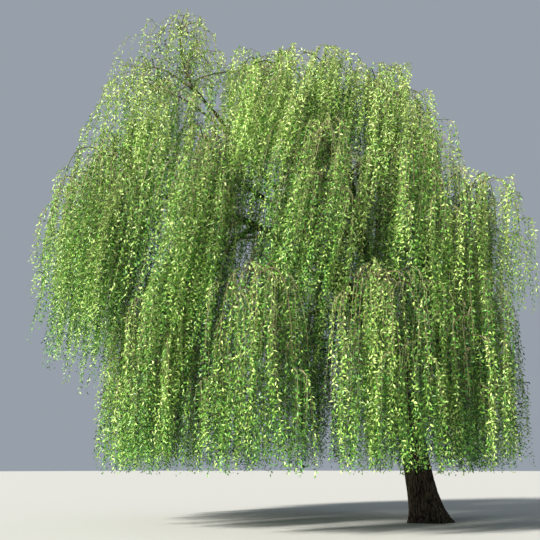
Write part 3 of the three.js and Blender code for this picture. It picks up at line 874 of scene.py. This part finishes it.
class Finish:
    """A material and its nodes. What is the same all over is set on the shader's own sockets."""

    def __init__(self, name, **constants):
        self.material = bpy.data.materials.new(name)
        self.material.use_nodes = True
        self.tree = self.material.node_tree
        self.shader = self.tree.nodes["Principled BSDF"]
        for socket, value in constants.items():
            self.shader.inputs[socket.replace("_", " ")].default_value = value

    def node(self, kind, settings, values, output=0):
        """Any node: its settings are set first, then the value or link of each named socket"""
        made = self.tree.nodes.new(kind)
        for setting, value in settings.items():
            setattr(made, setting, value)
        for socket, value in values.items():
            if isinstance(value, Wire):
                self.tree.links.new(value.socket, made.inputs[socket])
            else:
                made.inputs[socket].default_value = value
        return Wire(self, made.outputs[output])

    def place(self, scale=(1, 1, 1)):
        where = self.node("ShaderNodeTexCoord", {}, {}, "Object")
        return self.node("ShaderNodeMapping", {}, {"Vector": where, "Scale": scale})

    def grain(self, size, scale=(1, 1, 1), detail=3.0):
        """Noise on the object's own place, with features of about this size in metres"""
        values = {"Vector": self.place(scale), "Scale": 1 / size, "Detail": detail}
        return self.node("ShaderNodeTexNoise", {}, values, "Fac")

    def attribute(self, name):
        return self.node("ShaderNodeAttribute", {"attribute_name": name}, {}, "Fac")

    def colours(self, share, low, high):
        """A mix of two colours, or of a colour and a mix"""
        # The Mix node has its share on input 0, its colours on inputs 6 and 7, and their mix on output 2
        low, high = (end if isinstance(end, Wire) else (*end, 1) for end in (low, high))
        return self.node("ShaderNodeMix", {"data_type": "RGBA"}, {0: share, 6: low, 7: high}, 2)

    def paint(self, socket, wire):
        self.tree.links.new(wire.socket, self.shader.inputs[socket])

    def bump(self, height, depth):
        values = {"Height": height, "Strength": 0.6, "Distance": depth}
        self.paint("Normal", self.node("ShaderNodeBump", {}, values, "Normal"))


def bark_finish(name, furrow_and_shade_colour, ridge_colour, moss_share):
    """Bark: dark in its furrows, as its own darker colour with painted shade in it, paler on its ridges,
    with fine grain and a little algae
    """
    finish = Finish(name, Roughness=0.92, Specular_IOR_Level=0.2)
    ridge = finish.attribute("ridge")
    patches = finish.grain(0.35)
    grain = finish.grain(0.02, scale=(1, 1, 0.25), detail=5.0)
    streaks = finish.grain(0.035, scale=(1, 1, 0.13), detail=2.0)
    pale = tuple(channel * 1.7 for channel in ridge_colour)
    ridges = finish.colours(grain.ramp(0.38, 2.6), ridge_colour, pale)
    height = ((ridge - 0.25) * 0.75 + (streaks - 0.45) * 3.2).clamped() * 0.85 + (grain - 0.5) * 0.4
    # Low on the relief the bark takes the near-black furrow colour: the furrows' own darker colour with
    # painted shade in it
    bark = finish.colours(height.clamped(), furrow_and_shade_colour, ridges)
    moss = patches.ramp(0.56, 5.0) * moss_share
    finish.paint("Base Color", finish.colours(moss, bark, linear(82, 92, 48)))
    finish.bump(height, depth=0.02)
    return finish.material


def twig_finish(name, sunned, shade, roughness):
    """Smooth young bark, with a copy of its colour darkened to the given share mixed in, in patches, as
    painted shade
    """
    shaded = tuple(channel * shade for channel in sunned)
    finish = Finish(name, Roughness=roughness, Specular_IOR_Level=0.3)
    patches = finish.grain(0.4)
    finish.paint("Base Color", finish.colours(patches.ramp(0.32, 2.6), shaded, sunned))
    return finish.material


# Modelling


def deselect_all():
    bpy.ops.object.select_all(action="DESELECT")


def activate(piece):
    deselect_all()
    piece.select_set(True)
    bpy.context.view_layer.objects.active = piece


def apply_modifier(piece, kind, **settings):
    modifier = piece.modifiers.new(kind.title(), kind)
    for setting, value in settings.items():
        setattr(modifier, setting, value)
    activate(piece)
    bpy.ops.object.modifier_apply(modifier=modifier.name)


def finish_piece(piece, name, materials, nodes=()):
    """Gives a piece its name and materials, what it rides and the nodes that it replaces"""
    piece.name = piece.data.name = name
    for material in materials:
        piece.data.materials.append(material)
    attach(piece, "root")
    if nodes:
        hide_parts(*nodes)


def modelled_trunk(settings):
    """The trunk: a ring extruded upwards ring by ring, then drawn out into its root lobes"""
    deselect_all()
    below = -3 * settings.voxel
    heights = TRUNK.fork_height * evenly(settings.trunk_rings) ** RING_CROWDING
    heights = np.concatenate([[below], heights])
    bpy.ops.mesh.primitive_circle_add(
        vertices=settings.trunk_sides, radius=trunk_radius(0), fill_type="NGON", location=(0, 0, below)
    )
    trunk = bpy.context.object
    bpy.ops.object.mode_set(mode="EDIT")
    bpy.ops.mesh.select_all(action="SELECT")
    for low, high in zip(heights[:-1], heights[1:]):
        step = trunk_centre(max(high, 0)) - trunk_centre(max(low, 0))
        step[2] = high - low
        bpy.ops.mesh.extrude_region_move(TRANSFORM_OT_translate={"value": tuple(step)})
        ratio = trunk_radius(high) / trunk_radius(low)
        bpy.ops.transform.resize(value=(ratio, ratio, 1), center_override=tuple(trunk_centre(high)))
    bpy.ops.object.mode_set(mode="OBJECT")
    bpy.ops.object.transform_apply(location=True, rotation=True, scale=True)
    for vertex in trunk.data.vertices:
        height = max(vertex.co.z, 0)
        centre = Vector(trunk_centre(height))
        aside = vertex.co - centre
        angle = math.atan2(aside.y, aside.x)
        lobes = sum(lobe.depth * math.cos(lobe.count * angle + lobe.turn) for lobe in ROOT_LOBES)
        stretch = 1 + lobes * math.exp(-height / TRUNK.foot_height)
        vertex.co.x = centre.x + aside.x * stretch
        vertex.co.y = centre.y + aside.y * stretch
    return trunk


def modelled_limb(limb, settings):
    """A limb: a round curve through the limb's own steering points, swollen into a collar at its foot"""
    deselect_all()
    bpy.ops.curve.primitive_bezier_curve_add()
    curve = bpy.context.object
    foot, leaving, arriving, tip = (Vector(point) for point in limb.controls)
    spline = curve.data.splines[0]
    ends = spline.bezier_points
    for point, place, before, after in (
        (ends[0], foot, foot * 2 - leaving, leaving),
        (ends[1], tip, arriving, tip * 2 - arriving),
    ):
        point.handle_left_type = point.handle_right_type = "FREE"
        point.co = place
        point.handle_left = before
        point.handle_right = after
    bpy.ops.object.mode_set(mode="EDIT")
    bpy.ops.curve.select_all(action="SELECT")
    bpy.ops.curve.subdivide(number_cuts=settings.limb_cuts)
    bpy.ops.object.mode_set(mode="OBJECT")
    points = curve.data.splines[0].bezier_points
    for i, point in enumerate(points):
        share = i / (len(points) - 1)
        taper = limb.radii[0] + (settings.limb_tip_radius - limb.radii[0]) * share
        point.radius = taper * (1 + settings.collar * math.exp(-share / COLLAR_SHARE))
    curve.data.bevel_depth = 1.0
    curve.data.bevel_resolution = 3
    curve.data.resolution_u = 3
    curve.data.use_fill_caps = True
    bpy.ops.object.convert(target="MESH")
    return bpy.context.object


def wood_frames(limbs):
    """Where bark's pattern is measured from: points along the limbs, two directions across and one
    along them, how far along they are and the limb's radius there"""
    rows = []
    shares = evenly(FINE_LIMB_STEPS * 2)
    for name, limb in limbs.items():
        points = limb.points(FINE_LIMB_STEPS * 2)
        across, beside = across_lines(points[None])
        ways = units(np.gradient(points, axis=0))
        along = np.concatenate([[0], np.cumsum(np.linalg.norm(np.diff(points, axis=0), axis=1))])
        along = along + sum(map(ord, name)) * PATTERN_SHIFT
        rows.append((points, across[0], beside[0], ways, along, limb.radius(shares)))
    return [np.concatenate(column) for column in zip(*rows)]


def ridge_height(place):
    """How high the bark stands at a place of its pattern, from 0 in a furrow to 1 on a ridge"""
    bend = noise.noise(place * PATTERN_BEND_SCALE) * PATTERN_BEND
    coarse = abs(noise.noise(place + Vector((bend, -bend, 0))))
    fine = abs(noise.noise(place * FINE_FURROW_SCALE + FINE_FURROW_SHIFT))
    ridge = 1 - math.exp(-((coarse / FURROW_WIDTH) ** 2))
    fine_ridge = 1 - math.exp(-((fine / FINE_FURROW_WIDTH) ** 2))
    return ridge * (1 - FINE_FURROW_SHARE + FINE_FURROW_SHARE * fine_ridge)


def furrow_bark(piece, limbs, settings, depth):
    """Furrows the bark along the limbs, and keeps how high each point stands on its ridge"""
    mesh = piece.data
    count = len(mesh.vertices)
    places, normals = np.empty(count * 3), np.empty(count * 3)
    mesh.vertices.foreach_get("co", places)
    mesh.vertices.foreach_get("normal", normals)
    places, normals = places.reshape(-1, 3), normals.reshape(-1, 3)
    centres, across, beside, ways, along, radii = wood_frames(limbs)
    nearest = np.empty(count, int)
    for start in range(0, count, POINTS_AT_ONCE):
        some = slice(start, start + POINTS_AT_ONCE)
        gaps = np.linalg.norm(places[some, None] - centres, axis=-1) - radii
        nearest[some] = gaps.argmin(axis=1)
    aside = places - centres[nearest]
    radius = np.maximum(np.linalg.norm(aside, axis=1), LEAST_RADIUS)
    x = (aside * across[nearest]).sum(1) / settings.furrow_spacing
    y = (aside * beside[nearest]).sum(1) / settings.furrow_spacing
    z = (along[nearest] + (aside * ways[nearest]).sum(1)) / settings.furrow_length
    ridges = np.array([ridge_height(Vector(place)) for place in zip(x, y, z)])
    deep = np.minimum(depth, radius * FURROW_MOST_OF_RADIUS)
    places = places + normals * ((ridges - UNMOVED_RIDGE) * deep)[:, None]
    mesh.vertices.foreach_set("co", places.astype(np.float32).ravel())
    height = mesh.attributes.new("ridge", "FLOAT", "POINT")
    height.data.foreach_set("value", ridges.astype(np.float32))
    mesh.update()


def select_faces_below(piece, height):
    """Makes a piece the active one, with only the faces selected whose middle is below a height"""
    activate(piece)
    centres = np.empty(len(piece.data.polygons) * 3)
    piece.data.polygons.foreach_get("center", centres)
    piece.data.polygons.foreach_set("select", centres[2::3] < height)


def fused_wood(parts, voxel, settings):
    """Parts of wood grown together into one skin"""
    deselect_all()
    for part in parts:
        part.select_set(True)
    bpy.context.view_layer.objects.active = parts[0]
    bpy.ops.object.join()
    piece = bpy.context.object
    apply_modifier(piece, "REMESH", mode="VOXEL", voxel_size=voxel, use_smooth_shade=True)
    apply_modifier(piece, "SMOOTH", factor=0.5, iterations=settings.smoothing)
    piece.data.materials.clear()
    return piece


# The settings that a user may change


def whole_number(name, description, default):
    return bpy.props.IntProperty(name=name, description=description, default=default)


def number(name, description, default, **kind):
    return bpy.props.FloatProperty(name=name, description=description, default=default, **kind)


def numbers(name, description, default, **kind):
    size = len(default)
    return bpy.props.FloatVectorProperty(
        name=name, description=description, default=default, size=size, **kind
    )


def metres(name, description, default):
    return number(name, description, default, unit="LENGTH")


def least_and_most(name, description, default):
    return numbers(name, description, default, unit="LENGTH")


def angle(name, description, degrees):
    return number(name, description, math.radians(degrees), subtype="ANGLE")


def colour(name, description, default):
    return numbers(name, description, default, subtype="COLOR")


class WillowWoodSettings(bpy.types.PropertyGroup):
    """Sizes and colours of the trunk and limbs"""

    voxel: metres("Skin cell", "Size of the cells that the wood is fused in", 0.04)
    limb_voxel: metres("Limb skin cell", "Size of the cells of the lesser limbs", 0.05)
    smoothing: whole_number("Smoothing", "Passes that soften the forks", 3)
    trunk_sides: whole_number("Trunk sides", "Points round the trunk", 64)
    trunk_rings: whole_number("Trunk rings", "Steps up the trunk", 24)
    limb_cuts: whole_number("Limb cuts", "Cuts along a limb's curve", 15)
    limb_tip_radius: metres("Tip radius", "Radius of a limb at its tip", 0.058)
    collar: number("Collar", "How much a limb swells where it leaves its bearer", 0.35)
    furrow_spacing: metres("Furrow spacing", "Width of a ridge and its furrow", 0.065)
    furrow_length: metres("Furrow length", "Length of a ridge of bark", 0.5)
    furrow_depth: metres("Furrow depth", "Depth of the trunk's furrows", 0.055)
    limb_furrow_depth: metres("Limb furrow depth", "Depth of the limbs' furrows", 0.014)
    detail_height: metres("Fine bark to", "Height up to which the bark is finest", 2.3)
    # The furrows' colour is near black: the bark's own darker colour there with painted shade in it
    furrow_and_shade_colour: colour("Furrows", "Bark in the furrows", linear(6, 5, 4))
    ridge_colour: colour("Ridges", "Bark on the ridges", linear(78, 69, 57))
    limb_ridge_colour: colour("Limb ridges", "Bark on the limbs' ridges", linear(66, 56, 42))


class WillowFoliageSettings(bpy.types.PropertyGroup):
    """Sizes and colours of the twigs and leaves"""

    tresses: whole_number("Tresses", "Side twigs on an arching twig", 7)
    strands: whole_number("Strands", "Hanging strands in a tress", 6)
    stem_span: numbers("Stem span", "Where the tresses begin and end along a stem", (0.25, 0.95))
    tress_span: numbers("Tress span", "Where the tresses begin and end along a twig", (0.06, 1.0))
    tress_reach: least_and_most("Tress reach", "Least and most reach of a tress", (0.3, 0.95))
    tress_rise: least_and_most("Tress rise", "Least and most rise of a tress", (0.05, 0.32))
    strand_length: least_and_most("Strand length", "Least and most length of a strand", (1.9, 3.9))
    strand_spread: least_and_most("Strand spread", "How far out a strand's foot hangs", (0.02, 0.3))
    strand_lean: number("Strand lean", "How far a strand leans its own way for each metre", 0.075)
    strand_radius: metres("Strand radius", "Radius of a strand at its top", 0.006)
    hem_sway: metres("Hem sway", "How far above the hem a strand may end", 0.75)
    drift: numbers("Drift", "How far the strands lean as they hang", (-0.18, 0.0))
    overlap: metres("Overlap", "How far strands may hang into the next mass", 1.1)
    bare_share: number("Bare strands", "Share of the strands with few leaves", 0.08)
    leaf_length: metres("Leaf length", "Length of a leaf", 0.115)
    leaf_width: metres("Leaf width", "Width of a leaf", 0.045)
    leaf_spacing: metres("Leaf spacing", "Distance between leaves along a strand", 0.055)
    # The leaf tints are the leaves' own colours and also painted light and shade: the paler ones go on the
    # crown's outside and high up as painted light, the darker ones inside and low down as painted shade
    young: colour("Young leaves", "Palest leaves", linear(190, 216, 124))
    sunlit: colour("Sunlit leaves", "Outermost leaves", linear(147, 187, 80))
    bright: colour("Bright leaves", "Outer leaves", linear(113, 167, 61))
    middling: colour("Middling leaves", "Leaves between", linear(86, 144, 51))
    green: colour("Green leaves", "Inner leaves", linear(51, 104, 36))
    deep: colour("Deep leaves", "Innermost leaves", linear(19, 52, 16))
    twig_colour: colour("Twigs", "Bark of the twigs", linear(114, 107, 74))
    strand_colour: colour("Strands", "Bark of the hanging strands", linear(168, 160, 116))


class WillowStageSettings(bpy.types.PropertyGroup):
    """The floor, the lights and the camera"""

    floor_radius: metres("Floor radius", "Radius of the round floor", 140.0)
    floor_colour: colour("Floor", "Colour of the floor", (0.43, 0.43, 0.41))
    surroundings: colour("Surroundings", "Light from all round", (0.31, 0.35, 0.4))
    sun_strength: number("Key light", "Strength of the key light", 8.4)
    sun_softness: angle("Key softness", "How wide the key light looks", 7)
    sun_colour: colour("Key colour", "Colour of the key light", (1.0, 0.97, 0.9))
    sun_from: numbers("Key direction", "Where the key light comes from", (-0.68, -0.56, 0.62))
    camera_place: numbers(
        "Camera", "Where the camera stands", (-4.44, -21.8, 1.6), subtype="TRANSLATION"
    )
    camera_tilt: angle("Tilt", "How far the camera looks up", 14.57)
    camera_view: angle("Field of view", "Width of the view", 40)


# The operators


class WILLOW_OT_trunk_and_boughs(bpy.types.Operator):
    """Models the trunk and its main boughs as one furrowed skin"""

    bl_idname = "willow.trunk_and_boughs"
    bl_label = "Trunk and boughs"

    def execute(self, context):
        settings = context.scene.willow_wood
        limbs = {name: limb for name, limb in grown_limbs().items() if name in ("trunk", *BOUGHS)}
        parts = [modelled_trunk(settings)]
        parts += [modelled_limb(limbs[name], settings) for name in BOUGHS]
        piece = fused_wood(parts, settings.voxel, settings)
        select_faces_below(piece, settings.detail_height)
        bpy.ops.object.mode_set(mode="EDIT")
        bpy.ops.mesh.select_mode(type="FACE")
        bpy.ops.mesh.subdivide(number_cuts=1, smoothness=1.0)
        bpy.ops.object.mode_set(mode="OBJECT")
        furrow_bark(piece, limbs, settings, settings.furrow_depth)
        activate(piece)
        bpy.ops.object.mode_set(mode="EDIT")
        bpy.ops.mesh.select_all(action="SELECT")
        bpy.ops.mesh.bisect(plane_co=(0, 0, 0), plane_no=(0, 0, 1), clear_inner=True, use_fill=True)
        bpy.ops.object.mode_set(mode="OBJECT")
        colours = settings.furrow_and_shade_colour, settings.ridge_colour
        bark = bark_finish("furrowed_bark", *colours, moss_share=0.25)
        finish_piece(piece, "trunk_and_boughs", [bark], limbs)
        return {"FINISHED"}


class WILLOW_OT_limbs(bpy.types.Operator):
    """Models the lesser limbs as one skin with finer bark"""

    bl_idname = "willow.limbs"
    bl_label = "Limbs"

    def execute(self, context):
        settings = context.scene.willow_wood
        limbs = {name: limb for name, limb in grown_limbs().items() if name not in ("trunk", *BOUGHS)}
        parts = [modelled_limb(limb, settings) for limb in limbs.values()]
        piece = fused_wood(parts, settings.limb_voxel, settings)
        furrow_bark(piece, limbs, settings, settings.limb_furrow_depth)
        colours = settings.furrow_and_shade_colour, settings.limb_ridge_colour
        bark = bark_finish("limb_bark", *colours, moss_share=0.15)
        finish_piece(piece, "limbs", [bark], limbs)
        return {"FINISHED"}


class WILLOW_OT_twigs(bpy.types.Operator):
    """Grows the stems, arching twigs and side twigs of the crown"""

    bl_idname = "willow.twigs"
    bl_label = "Twigs"

    def execute(self, context):
        settings = context.scene.willow_foliage
        crown = crown_of(context.scene)
        stems = np.array([growth.twigs[0] for growth in crown])
        swollen = STEM_RADIUS + STEM_SWELL * np.exp(-evenly(STEM_STEPS) * STEM_SWELL_FADE)
        parts = [tube_arrays(stems, swollen, 6)]
        for growth in crown:
            for twig in growth.twigs[1:]:
                parts.append(tube_arrays(twig[None], between(TWIG_RADII, evenly(len(twig) - 1)), 5))
        tresses = np.concatenate([growth.tresses for growth in crown])
        parts.append(tube_arrays(tresses, between(TRESS_RADII, evenly(TRESS_STEPS)), 4))
        piece = mesh_object("arching_twigs", *joined(parts), smooth=True)
        bark = twig_finish("twig_bark", settings.twig_colour, shade=0.55, roughness=0.8)
        finish_piece(piece, "arching_twigs", [bark])
        return {"FINISHED"}


class WILLOW_OT_strands(bpy.types.Operator):
    """Grows the long hanging strands that bear the leaves"""

    bl_idname = "willow.strands"
    bl_label = "Hanging strands"

    def execute(self, context):
        settings = context.scene.willow_foliage
        lines = np.concatenate([growth.strands for growth in crown_of(context.scene)])
        radii = settings.strand_radius * between(STRAND_TAPER, STRAND_SHARES)
        piece = mesh_object("hanging_strands", *tube_arrays(lines, radii, 3), smooth=True)
        bark = twig_finish("strand_bark", settings.strand_colour, shade=0.6, roughness=0.6)
        finish_piece(piece, "hanging_strands", [bark])
        return {"FINISHED"}


LEAF_PIECES = {
    "skirt_front_leaves": lambda mass: mass.tier.name == "skirt" and mass.out[1] < 0,
    "skirt_back_leaves": lambda mass: mass.tier.name == "skirt" and mass.out[1] >= 0,
    "middle_front_leaves": lambda mass: mass.tier.name == "middle" and mass.out[1] < 0,
    "middle_back_leaves": lambda mass: mass.tier.name == "middle" and mass.out[1] >= 0,
    "upper_leaves": lambda mass: mass.tier.name == "upper",
    "top_and_spire_leaves": lambda mass: mass.tier.name in ("top", "spire"),
}


class WILLOW_OT_leaves(bpy.types.Operator):
    """Sets the leaves along the strands, in one piece for each part of the crown"""

    bl_idname = "willow.leaves"
    bl_label = "Leaves"

    def execute(self, context):
        settings = context.scene.willow_foliage
        crown = crown_of(context.scene)
        tints = [self.tint(settings, name) for name in TINT_NAMES]
        for seed, (name, belongs) in enumerate(LEAF_PIECES.items()):
            growths = [growth for growth in crown if belongs(growth.mass)]
            draws = np.random.default_rng(LEAF_SEED + seed)
            vertices, faces, chosen = leaf_arrays(draws, growths, settings)
            piece = mesh_object(name, vertices, faces)
            replaced = [growth.mass.name for growth in growths]
            finish_piece(piece, name, tints, replaced)
            piece.data.polygons.foreach_set("material_index", chosen.astype(np.int32))
        return {"FINISHED"}

    def tint(self, settings, name):
        colour = (*getattr(settings, name), 1)
        return Finish(f"{name}_leaf", Base_Color=colour, Roughness=0.45, Specular_IOR_Level=0.5).material


class WILLOW_OT_stage(bpy.types.Operator):
    """Sets out the pale floor, the soft light and the camera"""

    bl_idname = "willow.stage"
    bl_label = "Stage"

    def execute(self, context):
        settings = context.scene.willow_stage
        scene = context.scene
        deselect_all()
        bpy.ops.mesh.primitive_circle_add(
            vertices=FLOOR_SIDES, radius=settings.floor_radius, fill_type="NGON"
        )
        floor = context.object
        floor.name = "floor"
        paint = Finish("pale_floor", Base_Color=(*settings.floor_colour, 1), Roughness=0.9)
        floor.data.materials.append(paint.material)
        world = bpy.data.worlds.new("surroundings")
        world.use_nodes = True
        background = world.node_tree.nodes["Background"]
        background.inputs["Color"].default_value = (*settings.surroundings, 1)
        scene.world = world
        sun_from = Vector(settings.sun_from)
        bpy.ops.object.light_add(type="SUN", location=sun_from * KEY_DISTANCE)
        key = context.object
        key.name = "key_light"
        key.data.energy = settings.sun_strength
        key.data.angle = settings.sun_softness
        key.data.color = settings.sun_colour
        key.rotation_euler = sun_from.to_track_quat("Z", "Y").to_euler()
        bpy.ops.object.camera_add(
            location=settings.camera_place, rotation=(math.pi / 2 + settings.camera_tilt, 0, 0)
        )
        camera = context.object
        camera.data.sensor_width = 36
        camera.data.angle = settings.camera_view
        camera.data.clip_end = VIEW_DEPTH
        scene.camera = camera
        scene.view_settings.view_transform = "Standard"
        return {"FINISHED"}


OPERATORS = (
    WILLOW_OT_trunk_and_boughs,
    WILLOW_OT_limbs,
    WILLOW_OT_twigs,
    WILLOW_OT_strands,
    WILLOW_OT_leaves,
    WILLOW_OT_stage,
)
SETTINGS = {
    "willow_wood": WillowWoodSettings,
    "willow_foliage": WillowFoliageSettings,
    "willow_stage": WillowStageSettings,
}


class WILLOW_PT_panel(bpy.types.Panel):
    """Lists what makes the willow, in the order in which it is made"""

    bl_idname = "WILLOW_PT_panel"
    bl_label = "Weeping willow"
    bl_space_type = "VIEW_3D"
    bl_region_type = "UI"
    bl_category = "Willow"

    def draw(self, context):
        for operator in OPERATORS:
            self.layout.operator(operator.bl_idname)
        for name, group in SETTINGS.items():
            box = self.layout.box()
            for setting in group.__annotations__:
                box.prop(getattr(context.scene, name), setting)


CLASSES = (*SETTINGS.values(), *OPERATORS, WILLOW_PT_panel)


def register():
    for kind in CLASSES:
        bpy.utils.register_class(kind)
    for name, group in SETTINGS.items():
        setattr(bpy.types.Scene, name, bpy.props.PointerProperty(type=group))


def unregister():
    for name in SETTINGS:
        delattr(bpy.types.Scene, name)
    for kind in reversed(CLASSES):
        bpy.utils.unregister_class(kind)


def main():
    register()
    bpy.ops.willow.trunk_and_boughs()
    bpy.ops.willow.limbs()
    bpy.ops.willow.twigs()
    bpy.ops.willow.strands()
    bpy.ops.willow.leaves()
    bpy.ops.willow.stage()


if __name__ == "__main__":
    main()
